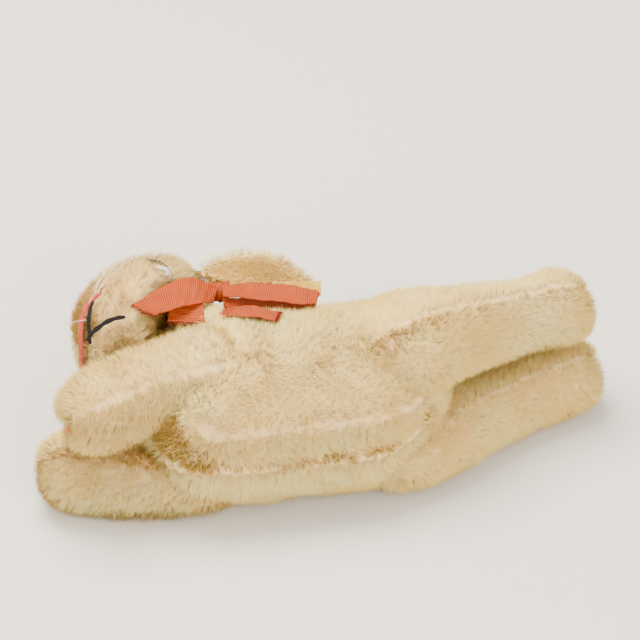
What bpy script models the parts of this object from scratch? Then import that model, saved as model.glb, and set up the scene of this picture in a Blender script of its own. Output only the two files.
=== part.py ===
"""Stuffed bunny rabbit, lying on its right side.

Frame: +X runs from the head to the feet, +Y is the back (the belly faces -Y), +Z is up, which is the
rabbit's left side. The origin is below the middle of the whole toy, on the surface it lies on.
Dimensions below are in millimetres and are scaled to metres when a mesh is made.
"""

import math

import bmesh
import bpy
from mathutils import Matrix, Vector

MM = 0.001
ORIGIN = Vector((-5.95, 22.475, 0.0))  # the layout point that becomes the world origin

SHELL = 2.4  # backing cloth with its flattened pile
GAP = 0.3  # between touching pieces
CORE_GAP = 0.5  # between a panel and the stuffing
CAP_ANGLES = (18, 42, 66)  # rings of a rounded end, in degrees from its pole

# Seams: the first and last angle of a panel round its form, from the back over the left side, and its facets
TORSO_SEAMS = {"torso_panel_left": (2, 158, 7), "belly_panel": (158, 188, 2),
               "torso_panel_right": (188, 362, 8)}
HEAD_SEAMS = {
    "head_gusset": (-18, 18, 2),
    "head_panel_left": (18, 180, 6),
    "head_panel_right": (180, 342, 6),
}
TAIL_SEAMS = {"tail_panel_left": (0, 180, 4), "tail_panel_right": (180, 360, 4)}
ROUND = ((0, 360, 24),)

# Stuffed forms: x, y, z of the middle, half depth (back to belly), half width (left to right)
TORSO = ((43, 17, 26, 20, 24), (26, 15, 25.4, 25, 26.8), (4, 12, 25.2, 27, 27.4), (-18, 7, 25.2, 27, 27.2),
         (-36, 2, 26, 24, 24), (-47, 1, 26, 19, 20))
TORSO_CAPS = (16, 12)
NECK = ((-30, 20, 26, 12, 14), (-41, 35, 26, 10, 12))
HEAD = ((-36, 46, 25, 17, 18), (-47, 46.5, 25, 19.5, 21), (-58, 46, 25, 19.5, 21.5),
        (-68, 43.5, 25, 14.5, 15), (-76, 42, 25, 9, 9.5))
HEAD_CAPS = (11, 7)
NECK_ROOM = 3.4  # how far the hollow behind the head clears the neck
TAIL = ((30, 40, 26, 9, 9), (35, 53, 26, 8, 8.5))

# Limbs: the root end is round about the joint, so that it can turn in its pocket
LIMB_PANELS = {"back_panel": -180, "belly_panel": 0}  # where each panel starts, past the limb's upper seam
LIMBS = {
    "arm_left": dict(path=((-34, 4, 43, 14, 10.6), (-50, -1, 40.5, 12.4, 11.2), (-66, -9, 37.5, 12.2, 12)),
                     root=14, tip=11.6, seam=130),
    "arm_right": dict(path=((-36, -4, 10.4, 14, 10), (-55, -8, 10.8, 12, 10.6), (-74, -6, 11.8, 11.6, 11.4)),
                      root=14, tip=11.2, seam=95),
    "leg_left": dict(path=((27, 16, 44, 18, 11.8), (42, 25, 42, 13.6, 11.4), (57, 34, 38.6, 9.6, 9.8),
                           (74, 42, 37, 10.6, 10.4)), root=18, tip=9, seam=100),
    "leg_right": dict(path=((25, 10, 10.4, 18, 10), (41, 18, 10.6, 13.6, 10.2), (57, 29, 10.4, 9.8, 9.9),
                            (77, 41, 10.9, 10.6, 10.4)), root=18, tip=9, seam=113),
}
POCKET_CLEARANCE = 1.6
WEB_LOW = 21.3  # the slab of the torso that stays between the left and right limbs
ARM_WEB_HIGH, LEG_WEB_HIGH = 27.4, 29.4
ARM_SWING = (-8, 45)
LEG_SWING = (-8, 45)

EAR_ROOT = Vector((-37, 51.5, 43.6))
EAR_LENGTH = 33
EAR_WIDTHS = ((0.0, 6.0), (0.25, 10.0), (0.55, 12.4), (0.8, 9.6), (1.0, 3.6))
EAR_NORMAL = Vector((0, -0.77, 0.64))  # the lining of the left ear faces this way
EAR_CUP = 1.8
EAR_DROOP = 5.5  # how far the tip sinks towards the belly
EAR_BACK, EAR_LINING = 2.0, 0.8
HEAD_MIDDLE = 25

RIVET_AT = 24.5  # from the ear's root
RIVET_SIDE = -3.4  # towards the belly
RIVET_RADIUS = 1.1
TAG = (15.0, 4.6, 0.6)
TAG_LIFT = 4.6  # from the ear to the tag, along the rivet
HOLE_ROOM = 0.2  # round the rivet

RIBBON_WIDTH, RIBBON_THICK = 8.0, 0.9
KNOT = Vector((-31.5, 41.5, 43.5))

# stitches on the face: how far along the head, and the angle round it
NOSE = ((-67.5, 93), (-69.5, 95), (-71.5, 99), (-73.0, 108), (-73.6, 122), (-73.8, 140), (-74.0, 180),
        (-73.8, 220), (-73.6, 238), (-73.0, 252), (-71.5, 261), (-69.5, 265), (-67.5, 267))
MOUTH = ((-59.5, 128), (-63.0, 127), (-66.3, 128), (-69.0, 133), (-70.6, 144), (-71.0, 180), (-70.6, 216),
         (-69.0, 227), (-66.3, 232), (-63.0, 233), (-59.5, 232))


def clear_scene():
    for item in list(bpy.data.objects):
        bpy.data.objects.remove(item, do_unlink=True)


def collection(name, hidden=False):
    made = bpy.data.collections.new(name)
    bpy.context.scene.collection.children.link(made)
    made.hide_render = hidden
    return made


def material(name, colour, roughness, metallic=0.0):
    made = bpy.data.materials.new(name)
    made.use_nodes = True
    shader = made.node_tree.nodes["Principled BSDF"]
    shader.inputs["Base Color"].default_value = (*colour, 1.0)
    shader.inputs["Roughness"].default_value = roughness
    shader.inputs["Metallic"].default_value = metallic
    made.diffuse_color = (*colour, 1.0)
    return made


clear_scene()
RABBIT = collection("stuffed_bunny_rabbit")
CUTTERS = collection("cutters", hidden=True)
SURFACES = {
    "mohair": material("mohair_plush", (0.86, 0.79, 0.62), 0.95),
    "stuffing": material("fibre_stuffing", (0.93, 0.92, 0.88), 1.0),
    "lining": material("ear_lining", (0.86, 0.66, 0.30), 0.9),
    "ribbon": material("grosgrain_ribbon", (0.87, 0.42, 0.34), 0.6),
    "pink": material("nose_thread", (0.88, 0.45, 0.40), 0.6),
    "black": material("mouth_thread", (0.02, 0.02, 0.03), 0.5),
    "white": material("eye_felt", (0.92, 0.92, 0.90), 0.9),
    "nylon": material("whisker_nylon", (0.85, 0.83, 0.76), 0.3),
    "tag": material("tag_cloth", (0.86, 0.64, 0.16), 0.8),
    "brass": material("rivet_brass", (0.80, 0.62, 0.28), 0.35, 1.0),
}


def scaled(point):
    return (Vector(point) - ORIGIN) * MM


def add_object(name, data, surface, pivot=None, group=RABBIT):
    """Link a mesh or curve made in world millimetres, with its origin at the pivot."""
    item = bpy.data.objects.new(name, data)
    if pivot is not None:
        place = scaled(pivot)
        data.transform(Matrix.Translation(-place))
        item.location = place
    if surface is not None:
        data.materials.append(SURFACES[surface])
    group.objects.link(item)
    return item


def mesh_from(name, points, faces):
    bm = bmesh.new()
    verts = [bm.verts.new(scaled(p)) for p in points]
    for face in faces:
        bm.faces.new([verts[i] for i in face])
    bmesh.ops.recalc_face_normals(bm, faces=bm.faces)
    mesh = bpy.data.meshes.new(name)
    bm.to_mesh(mesh)
    bm.free()
    return mesh


def along(keys, distance):
    """The row of numbers at this distance along smooth curves through the keys."""
    rows = [Vector(k) for k in keys]
    spans = [(Vector(b[:2]) - Vector(a[:2])).length for a, b in zip(rows, rows[1:])]
    index, left = 0, distance
    while index < len(spans) - 1 and left > spans[index]:
        left -= spans[index]
        index += 1
    u = left / spans[index]
    p1, p2 = rows[index], rows[index + 1]
    p0 = rows[index - 1] if index else p1 * 2 - p2
    p3 = rows[index + 2] if index + 2 < len(rows) else p2 * 2 - p1
    return 0.5 * (p1 * 2 + (p2 - p0) * u + (p0 * 2 - p1 * 5 + p2 * 4 - p3) * u * u
                  + (p1 * 3 - p0 - p2 * 3 + p3) * u ** 3)


class Form:
    """A soft form lofted along a level path, with rounded ends."""

    def __init__(self, keys, caps, middle, before=0.0, after=0.0):
        spans = [(Vector(b[:2]) - Vector(a[:2])).length for a, b in zip(keys, keys[1:])]
        self.keys, self.length = keys, sum(spans)
        self.start, self.end = -before, self.length + after
        first, last = caps
        rounds = [math.radians(a) for a in CAP_ANGLES]
        self.rows = [(self.start + first * (1 - math.cos(a)), math.sin(a)) for a in rounds]
        low, high = self.start + first, self.end - last
        self.rows += [(low + (high - low) * i / middle, 1.0) for i in range(middle + 1)]
        self.rows += [(self.end - last * (1 - math.cos(a)), math.sin(a)) for a in reversed(rounds)]

    def station(self, row):
        distance, share = row
        inside = min(max(distance, 0.0), self.length)
        key = along(self.keys, inside)
        step = 0.5
        a = along(self.keys, max(inside - step, 0.0))
        b = along(self.keys, min(inside + step, self.length))
        run = Vector((b[0] - a[0], b[1] - a[1], 0)).normalized()
        side = Vector((-run.y, run.x, 0))
        if side.y < 0:
            side = -side
        middle = Vector(key[:3]) + run * (distance - inside)
        return middle, side, key[3] * share, key[4] * share

    def point(self, row, angle, grow=0.0):
        middle, side, deep, wide = self.station(row)
        up = Vector((0, 0, math.sin(angle) * (wide + grow)))
        return middle + side * math.cos(angle) * (deep + grow) + up

    def normal(self, index, angle):
        rows = self.rows
        ahead = self.point(rows[min(index + 1, len(rows) - 1)], angle)
        behind = self.point(rows[max(index - 1, 0)], angle)
        turn = 0.02
        across = self.point(rows[index], angle + turn) - self.point(rows[index], angle - turn)
        found = (ahead - behind).cross(across).normalized()
        middle = self.station(rows[index])[0]
        lean = self.point(rows[index], angle) - middle
        return found if found.dot(lean) > 0 else -found

    def skin(self, index, angle, inset):
        """A point of the surface moved in by inset, flattened where it lies on the ground."""
        place = self.point(self.rows[index], angle) - self.normal(index, angle) * inset
        place.z = max(place.z, inset)
        return place


def shell_panel(name, form, low, high, steps, pivot=None, surface="mohair", outer=0.0, inner=SHELL):
    """One sewn panel: a closed piece of shell between two seam angles, in degrees."""
    def grid(inset):
        rows = []
        for index, row in enumerate(form.rows):
            _, _, deep, wide = form.station(row)
            seam = 0.5 * GAP / max(min(deep, wide), 1.0)
            a, b = math.radians(low) + seam, math.radians(high) - seam
            rows.append([form.skin(index, a + (b - a) * i / steps, inset) for i in range(steps + 1)])
        return rows

    outside, inside = grid(outer), grid(inner)
    count, wide = len(outside), steps + 1
    points = [p for row in outside for p in row] + [p for row in inside for p in row]
    back = count * wide
    faces = []
    for i in range(count - 1):
        for j in range(steps):
            a, b, c, d = i * wide + j, i * wide + j + 1, (i + 1) * wide + j + 1, (i + 1) * wide + j
            faces += [(a, b, c, d), (back + d, back + c, back + b, back + a)]
    for i in range(count - 1):
        for j in (0, steps):
            a, b = i * wide + j, (i + 1) * wide + j
            faces.append((a, b, back + b, back + a))
    for j in range(steps):
        for i in (0, count - 1):
            a, b = i * wide + j, i * wide + j + 1
            faces.append((a, b, back + b, back + a))
    item = add_object(name, mesh_from(name, points, faces), surface, pivot)
    item.data.shade_smooth()
    return item


def solid_form(name, form, inset, seams, pivot=None, surface="stuffing", group=RABBIT):
    """A closed form, faceted along the same lines as the panels between these seams."""
    angles = [math.radians(low + (high - low) * i / steps)
              for low, high, steps in seams for i in range(steps)]
    sides = len(angles)
    points, faces = [], []
    for index in range(len(form.rows)):
        points += [form.skin(index, angle, inset) for angle in angles]
    for i in range(len(form.rows) - 1):
        for j in range(sides):
            k = (j + 1) % sides
            faces.append((i * sides + j, i * sides + k, (i + 1) * sides + k, (i + 1) * sides + j))
    last = (len(form.rows) - 1) * sides
    faces += [tuple(range(sides)), tuple(range(last, last + sides))]
    item = add_object(name, mesh_from(name, points, faces), surface, pivot, group)
    item.data.shade_smooth()
    return item


def cutter(item):
    item.hide_render = True
    item.display_type = "WIRE"
    return item


def cut(item, tool):
    boolean = item.modifiers.new("cut", "BOOLEAN")
    boolean.operation = "DIFFERENCE"
    boolean.solver = "EXACT"
    boolean.object = tool


def box(name, middle, size, turn=None, surface=None, group=None):
    """A box about its middle, turned by a rotation matrix."""
    bm = bmesh.new()
    bmesh.ops.create_cube(bm, size=1.0)
    mesh = bpy.data.meshes.new(name)
    bm.to_mesh(mesh)
    bm.free()
    mesh.transform(Matrix.Diagonal((*(Vector(size) * MM), 1)))
    mesh.transform(Matrix.Translation(scaled(middle)) @ (turn or Matrix.Identity(4)))
    return add_object(name, mesh, surface, None, group or CUTTERS)


def cylinder(name, radius, depth, place, axis=Vector((0, 0, 1)), sides=24, surface=None, group=CUTTERS):
    bm = bmesh.new()
    bmesh.ops.create_cone(bm, cap_ends=True, segments=sides, radius1=radius * MM, radius2=radius * MM,
                          depth=depth * MM)
    mesh = bpy.data.meshes.new(name)
    bm.to_mesh(mesh)
    bm.free()
    mesh.transform(Matrix.Translation(scaled(place)) @ axis.to_track_quat("Z", "Y").to_matrix().to_4x4())
    return add_object(name, mesh, surface, None, group)


def swing_cutter(name, limb, swing, low, high):
    """A fan with a round back: the room that a limb needs to turn about its root."""
    path = LIMBS[limb]["path"]
    hub = Vector(path[0][:2])
    rest = math.degrees(math.atan2(path[-1][1] - path[0][1], path[-1][0] - path[0][0]))
    radius = LIMBS[limb]["root"] + POCKET_CLEARANCE
    reach = 60
    turn = 1 if name.startswith("arm") else -1
    ends = sorted((rest + turn * swing[0], rest + turn * swing[1]))
    outline = []
    steps = 10
    for i in range(steps + 1):  # the round back, from the far side of one limit to the far side of the other
        angle = math.radians(ends[1] + 90 + (ends[0] - 90 + 360 - ends[1] - 90) * i / steps)
        outline.append(hub + Vector((math.cos(angle), math.sin(angle))) * radius)
    for end, side in ((ends[0], -90), (ends[1], 90)):
        angle, offset = math.radians(end), math.radians(end + side)
        outline.append(hub + Vector((math.cos(angle), math.sin(angle))) * reach
                       + Vector((math.cos(offset), math.sin(offset))) * radius)
    count = len(outline)
    points = [(p.x, p.y, low) for p in outline] + [(p.x, p.y, high) for p in outline]
    faces = [tuple(range(count)), tuple(range(count, 2 * count))]
    faces += [(i, (i + 1) % count, count + (i + 1) % count, count + i) for i in range(count)]
    return cutter(add_object(name, mesh_from(name, points, faces), None, None, CUTTERS))


def tube(name, points, radius, surface, pivot=None, fine=1, smooth=2):
    """A round thread through the points, read from a smooth curve."""
    keys = [Vector((*p, 0, 0)[:5]) for p in points]
    rows = []
    for a in range(len(keys) - 1):
        p1, p2 = keys[a], keys[a + 1]
        p0 = keys[a - 1] if a else p1 * 2 - p2
        p3 = keys[a + 2] if a + 2 < len(keys) else p2 * 2 - p1
        for i in range(smooth):
            u = i / smooth
            rows.append(0.5 * (p1 * 2 + (p2 - p0) * u + (p0 * 2 - p1 * 5 + p2 * 4 - p3) * u * u
                               + (p1 * 3 - p0 - p2 * 3 + p3) * u ** 3))
    rows.append(keys[-1])
    curve = bpy.data.curves.new(name, "CURVE")
    curve.dimensions = "3D"
    curve.bevel_depth = radius * MM
    curve.bevel_resolution = fine
    curve.use_fill_caps = True
    spline = curve.splines.new("POLY")
    spline.points.add(len(rows) - 1)
    for place, row in zip(spline.points, rows):
        place.co = (*scaled(row[:3]), 1.0)
    return add_object(name, curve, surface, pivot)


def strip(name, keys, width, thickness, surface="ribbon", pivot=None, steps=3):
    """A flat ribbon: keys hold a place on its middle line and the direction across it."""
    points, rows = [], []
    places = [Vector(k[0]) for k in keys]
    sides = [Vector(k[1]).normalized() for k in keys]
    for a in range(len(places) - 1):
        p1, p2 = places[a], places[a + 1]
        p0 = places[a - 1] if a else p1 * 2 - p2
        p3 = places[a + 2] if a + 2 < len(places) else p2 * 2 - p1
        for i in range(steps):
            u = i / steps
            rows.append((0.5 * (p1 * 2 + (p2 - p0) * u + (p0 * 2 - p1 * 5 + p2 * 4 - p3) * u * u
                                + (p1 * 3 - p0 - p2 * 3 + p3) * u ** 3),
                         sides[a].lerp(sides[a + 1], u).normalized()))
    rows.append((places[-1], sides[-1]))
    for place, side in rows:
        points += [place - side * width / 2, place + side * width / 2]
    faces = [(2 * i, 2 * i + 1, 2 * i + 3, 2 * i + 2) for i in range(len(rows) - 1)]
    item = add_object(name, mesh_from(name, points, faces), surface, pivot)
    solid = item.modifiers.new("thickness", "SOLIDIFY")
    solid.thickness = thickness * MM
    solid.offset = 0.0
    solid.use_even_offset = True
    return item


# ---------------------------------------------------------------- torso and neck
torso = Form(TORSO, TORSO_CAPS, 7)
torso_parts = [shell_panel(name, torso, *seam) for name, seam in TORSO_SEAMS.items()]
torso_parts.append(solid_form("torso_stuffing", torso, SHELL + CORE_GAP, TORSO_SEAMS.values()))
pockets = [
    swing_cutter("arm_left_pocket", "arm_left", ARM_SWING, ARM_WEB_HIGH, 70),
    swing_cutter("arm_right_pocket", "arm_right", ARM_SWING, -10, WEB_LOW),
    swing_cutter("leg_left_pocket", "leg_left", LEG_SWING, LEG_WEB_HIGH, 70),
    swing_cutter("leg_right_pocket", "leg_right", LEG_SWING, -10, WEB_LOW),
]
TRIMS = (("rump_trim", (42, 8.2, 26), (10, 16, 22)), ("chest_trim", (-47, -6, 26), (14, 12, 22)))
for name, middle, size in TRIMS:
    trim = cutter(box(name, middle, size))
    for part in torso_parts:
        if part.name.startswith("torso_panel"):
            cut(part, trim)
for part in torso_parts:
    for pocket in pockets:
        cut(part, pocket)

neck_form = Form(NECK, (3, 10), 2, before=0, after=10)
torso_envelope = cutter(solid_form("torso_envelope", torso, -GAP, TORSO_SEAMS.values(), None, None, CUTTERS))
neck = solid_form("neck", neck_form, 0.0, ((0, 360, 12),), None, "mohair")
cut(neck, torso_envelope)

# ---------------------------------------------------------------- head
NECK_JOINT = Vector((NECK[1][0], NECK[1][1], HEAD_MIDDLE))
head = Form(HEAD, HEAD_CAPS, 4)
head_parts = [shell_panel(name, head, *seam, NECK_JOINT) for name, seam in HEAD_SEAMS.items()]
head_parts.append(solid_form("head_stuffing", head, SHELL + CORE_GAP, HEAD_SEAMS.values(), NECK_JOINT))
neck_room = cutter(cylinder("neck_room", NECK[1][3] + NECK_ROOM, 80, NECK_JOINT))
for part in head_parts:
    cut(part, neck_room)


def on_head(x, angle, lift):
    """A place lift above the head's surface, at this x and this angle round it."""
    distances = [head.length * i / 200 for i in range(201)]
    distance = min(distances, key=lambda d: abs(along(HEAD, d)[0] - x))
    a = math.radians(angle)
    step = 0.4
    place = head.point((distance, 1.0), a)
    ahead = head.point((min(distance + step, head.length), 1.0), a)
    behind = head.point((max(distance - step, 0.0), 1.0), a)
    across = head.point((distance, 1.0), a + 0.02) - head.point((distance, 1.0), a - 0.02)
    outward = (ahead - behind).cross(across).normalized()
    if outward.dot(place - Vector(along(HEAD, distance)[:3])) < 0:
        outward = -outward
    return place + outward * lift, outward


for side, sign in (("left", 1), ("right", -1)):
    place, outward = on_head(-49.0, sign * 88, 0.75)
    bm = bmesh.new()
    bmesh.ops.create_uvsphere(bm, u_segments=12, v_segments=6, radius=2.6 * MM)
    patch_mesh = bpy.data.meshes.new(f"eye_patch_{side}")
    bm.to_mesh(patch_mesh)
    bm.free()
    patch_mesh.transform(Matrix.Diagonal((1.15, 0.8, 0.17, 1)))
    patch_mesh.transform(outward.to_track_quat("Z", "X").to_matrix().to_4x4())
    patch_mesh.transform(Matrix.Translation(scaled(place)))
    add_object(f"eye_patch_{side}", patch_mesh, "white", NECK_JOINT)
    lid = [on_head(x, sign * angle, 1.9)[0] for x, angle in
           ((-53.6, 80), (-52.6, 76.5), (-51.0, 75), (-49.4, 76), (-48.2, 79))]
    tube(f"eye_{side}", lid, 0.5, "black", NECK_JOINT)

nose = [on_head(x, angle, 1.3)[0] for x, angle in NOSE]
tube("nose_embroidery", nose, 0.9, "pink", NECK_JOINT, smooth=3)
mouth = [on_head(x, angle, 1.0)[0] for x, angle in MOUTH]
tube("mouth_embroidery", mouth, 0.6, "black", NECK_JOINT, smooth=2)

WHISKERS = {  # root x and angle on the cheek, then free points
    "whisker_left_1": ((-67.5, 84), (-60, 55, 49), (-52, 57, 52), (-43, 58, 53)),
    "whisker_left_2": ((-68.6, 98), (-60, 46, 51), (-51, 49, 54), (-42.5, 50, 54.5)),
    "whisker_left_3": ((-70.6, 118), (-80, 33, 38), (-90, 32, 42), (-98, 36, 46)),
    "whisker_right_1": ((-67.5, -84), (-72, 54, 6.5), (-79, 58, 4.4), (-88, 61, 3.6)),
    "whisker_right_2": ((-68.6, -98), (-75, 45, 6.5), (-84, 48, 4.4), (-94, 49, 3.6)),
    "whisker_right_3": ((-70.6, -118), (-79, 34, 13), (-88, 33, 10), (-97, 36, 9)),
}
for name, (root, *free) in WHISKERS.items():
    angle = root[1]
    points = [on_head(root[0], angle, 0.5)[0], on_head(root[0], angle, 3.5)[0], *[Vector(p) for p in free]]
    tube(name, points, 0.2, "nylon", NECK_JOINT)


# ---------------------------------------------------------------- ears and tag
def ear_sheet(name, side, width_share, lift, thickness, surface, pivot):
    """A cupped leaf: a grid of rows across the ear, thickened by Solidify."""
    sign = 1 if side == "left" else -1
    out = Vector((0, EAR_NORMAL.y, EAR_NORMAL.z * sign))
    across = Vector((0, EAR_NORMAL.z, -EAR_NORMAL.y * sign))
    root = Vector((EAR_ROOT.x, EAR_ROOT.y, EAR_ROOT.z if sign > 0 else 2 * HEAD_MIDDLE - EAR_ROOT.z))
    points, faces = [], []
    rows, columns = 9, 5
    margin = (1 - width_share) * 0.5
    for i in range(rows):
        t = margin * 0.6 + (1 - margin * 1.2) * i / (rows - 1)
        width = along([(k[0] * 100, 0, 0, k[1], 0) for k in EAR_WIDTHS], t * 100)[3] * width_share
        for j in range(columns):
            s = 2 * j / (columns - 1) - 1
            cup = EAR_CUP * s * s * math.sin(math.pi * (0.15 + 0.75 * t))
            droop = EAR_DROOP * t * t
            points.append(root + Vector((EAR_LENGTH * t, -droop, 0)) + across * s * width / 2
                          + out * (cup * width_share ** 2 + lift))
    for i in range(rows - 1):
        for j in range(columns - 1):
            a = i * columns + j
            faces.append((a, a + 1, a + columns + 1, a + columns))
    item = add_object(name, mesh_from(name, points, faces), surface, pivot)
    solid = item.modifiers.new("thickness", "SOLIDIFY")
    solid.thickness = thickness * MM
    solid.offset = 0.0
    solid.use_even_offset = True
    item.data.shade_smooth()
    return item, out, across, root


for side in ("left", "right"):
    hub = Vector((EAR_ROOT.x, EAR_ROOT.y, EAR_ROOT.z if side == "left" else 2 * HEAD_MIDDLE - EAR_ROOT.z))
    back_sheet, out, across, root = ear_sheet(f"ear_{side}_back", side, 1.0, 0.0, EAR_BACK, "mohair", hub)
    spacing = (EAR_BACK + EAR_LINING) / 2 + GAP + 0.15
    lining_sheet, *_ = ear_sheet(f"ear_{side}_lining", side, 0.78, spacing, EAR_LINING, "lining", hub)
    if side == "left":
        t = RIVET_AT / EAR_LENGTH
        hole_at = root + Vector((RIVET_AT, -EAR_DROOP * t * t, 0)) + across * RIVET_SIDE
        drill = cutter(cylinder("rivet_hole", RIVET_RADIUS + HOLE_ROOM, 20, hole_at, out, 12))
        cut(back_sheet, drill)
        cut(lining_sheet, drill)

RIVET_OUT, RIVET_ACROSS = Vector((0, EAR_NORMAL.y, EAR_NORMAL.z)), Vector((0, EAR_NORMAL.z, -EAR_NORMAL.y))
rivet_share = RIVET_AT / EAR_LENGTH
RIVET_PLACE = EAR_ROOT + Vector((RIVET_AT, -EAR_DROOP * rivet_share ** 2, 0)) + RIVET_ACROSS * RIVET_SIDE
rivet_turn = RIVET_OUT.to_track_quat("Z", "Y").to_matrix().to_4x4()
tag_middle = RIVET_PLACE + RIVET_OUT * TAG_LIFT + Vector((TAG[0] / 2 - 2.2, 0, 0))
frame = Matrix((Vector((1, 0, 0)), RIVET_ACROSS, RIVET_OUT)).transposed().to_4x4()
tag = box("ear_tag", tag_middle, TAG, frame, "tag", RABBIT)
hole_middle = RIVET_PLACE + RIVET_OUT * TAG_LIFT
tag_hole = cylinder("tag_hole", RIVET_RADIUS + HOLE_ROOM, 6, hole_middle, RIVET_OUT, 12)
cut(tag, cutter(tag_hole))

profile = ((0.0, 0.9), (1.4, 0.7), (2.0, 0.0), (RIVET_RADIUS, 0.0), (RIVET_RADIUS, -7.2), (2.0, -7.2),
           (1.6, -8.0), (0.0, -8.2))
bm = bmesh.new()
ring = [bm.verts.new((x * MM, 0, z * MM)) for x, z in profile]
for a, b in zip(ring, ring[1:]):
    bm.edges.new((a, b))
rivet_mesh = bpy.data.meshes.new("tag_rivet")
bm.to_mesh(rivet_mesh)
bm.free()
rivet = add_object("tag_rivet", rivet_mesh, "brass")
rivet_top = RIVET_PLACE + RIVET_OUT * (TAG_LIFT + TAG[2] / 2 + GAP)
rivet.matrix_world = Matrix.Translation(scaled(rivet_top)) @ rivet_turn
turned = rivet.modifiers.new("turned", "SCREW")
turned.steps = turned.render_steps = 12
turned.use_merge_vertices = True
turned.merge_threshold = 0.00001
turned.use_normal_calculate = False

# ---------------------------------------------------------------- limbs
for name, limb in LIMBS.items():
    form = Form(limb["path"], (limb["root"], limb["tip"]), 4, before=limb["root"], after=limb["tip"])
    joint = Vector(limb["path"][0][:3])
    seams = {panel: (limb["seam"] + start, limb["seam"] + start + 180, 5)
             for panel, start in LIMB_PANELS.items()}
    for panel, seam in seams.items():
        shell_panel(f"{name}_{panel}", form, *seam, joint)
    solid_form(f"{name}_stuffing", form, SHELL + CORE_GAP, seams.values(), joint)

# ---------------------------------------------------------------- tail
tail_form = Form(TAIL, (5, 7), 1, before=0, after=2)
TAIL_JOINT = Vector((30.5, 41.5, 26))
tail_parts = [shell_panel(name, tail_form, *seam, TAIL_JOINT) for name, seam in TAIL_SEAMS.items()]
tail_parts.append(solid_form("tail_stuffing", tail_form, SHELL + CORE_GAP, TAIL_SEAMS.values(), TAIL_JOINT))
tail_room = cutter(solid_form("tail_room", torso, -1.6, TORSO_SEAMS.values(), None, None, CUTTERS))
for part in tail_parts:
    cut(part, tail_room)

# ---------------------------------------------------------------- ribbon
band_form = Form(((-35.2, 27.4, 26, 12.6, 14.6), (-38.6, 32.0, 26, 12.0, 13.8)), (0.01, 0.01), 1)
band_form.rows = [(0.0, 1.0), (band_form.length / 2, 1.0), (band_form.length, 1.0)]
band = shell_panel("ribbon_neck_band", band_form, 72, 418, 16, None, "ribbon", -RIBBON_THICK, 0.0)
cut(band, torso_envelope)

knot = box("ribbon_knot", KNOT, (6.4, 6.0, 4.6), None, "ribbon", RABBIT)
rounded = knot.modifiers.new("rounded", "BEVEL")
rounded.width = 1.2 * MM
rounded.segments = 2

ACROSS = Vector((0.15, 1.0, -0.35))
CHEEK = Vector((0.6, 0.8, -0.1))
RIBBONS = {
    "ribbon_loop_upper": ACROSS, "ribbon_loop_lower": ACROSS, "ribbon_tail_back": Vector((0.55, 0.8, -0.35)),
    "ribbon_tail_cheek": Vector((0.25, 1.0, 0.0)), "ribbon_tail_throat": CHEEK,
}
ROUTES = {  # places relative to the knot
    "ribbon_loop_upper": ((4, -2.4, 2.6), (11, -4, 7.2), (19, -5.4, 8.8), (24, -6.6, 8.0), (19, -5.6, 6.2),
                          (11, -4.2, 5.0), (5, -2.6, 1.5)),
    "ribbon_loop_lower": ((4.4, -4, -0.2), (12, -6.4, 2.3), (21, -9, 4.2), (25.8, -10, 3.0),
                          (20.6, -8.8, 1.2), (12, -6.4, -0.3), (5, -4, -2.2)),
    "ribbon_tail_back": ((1.6, -11.0, 1.8), (5, -17.4, 7.0), (12, -22, 9.6), (20, -26, 11.0)),
    "ribbon_tail_cheek": ((-4, -1.4, 2.6), (-10, -2.6, 4.4), (-18, -4.6, 5.2), (-26, -6.6, 5.0)),
    "ribbon_tail_throat": ((-4.4, -6.2, 1.2), (-8, -10, 1.6), (-12, -13.4, -0.2), (-15.5, -17, -4.0)),
}
for name, route in ROUTES.items():
    side = RIBBONS[name]
    strip(name, [(KNOT + Vector(p), side) for p in route], RIBBON_WIDTH, RIBBON_THICK)
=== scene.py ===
import math

import bmesh
import bpy
import numpy as np
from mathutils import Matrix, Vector, noise
from mathutils.bvhtree import BVHTree


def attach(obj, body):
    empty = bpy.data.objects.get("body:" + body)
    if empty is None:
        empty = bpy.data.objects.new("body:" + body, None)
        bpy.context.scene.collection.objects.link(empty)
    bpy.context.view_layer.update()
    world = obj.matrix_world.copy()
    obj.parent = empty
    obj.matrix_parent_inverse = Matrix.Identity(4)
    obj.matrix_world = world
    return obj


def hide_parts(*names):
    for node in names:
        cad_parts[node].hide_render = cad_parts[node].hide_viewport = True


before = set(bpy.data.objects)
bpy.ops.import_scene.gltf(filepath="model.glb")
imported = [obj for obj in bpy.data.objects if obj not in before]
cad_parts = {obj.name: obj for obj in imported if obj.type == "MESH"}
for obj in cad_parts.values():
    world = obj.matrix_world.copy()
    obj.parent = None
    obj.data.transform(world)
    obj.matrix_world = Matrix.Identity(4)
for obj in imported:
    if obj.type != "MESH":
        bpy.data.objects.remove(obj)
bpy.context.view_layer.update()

MM = 0.001
OFFSET = Vector((5.95, -22.475, 0.0))  # layout millimetres to world millimetres
HEAD_MIDDLE = 25
NOISE_SEED = 7
noise.seed_set(NOISE_SEED)


def at(*place):
    """A layout place in millimetres, as a world place in metres."""
    return (Vector(place) + OFFSET) * MM


# ---------------------------------------------------------------- camera, floor and light
SIGHT = Vector((5.95, 25.0, 28.0)) * MM
RISE = math.radians(38)
DISTANCE = 1.6
camera = bpy.data.objects.new("camera", bpy.data.cameras.new("camera"))
bpy.context.scene.collection.objects.link(camera)
camera.location = SIGHT + Vector((0, -math.cos(RISE), math.sin(RISE))) * DISTANCE
camera.rotation_euler = (math.radians(90) - RISE, 0, 0)
camera.data.angle = math.radians(7.1)
camera.data.clip_start = 0.01
bpy.context.scene.camera = camera


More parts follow.
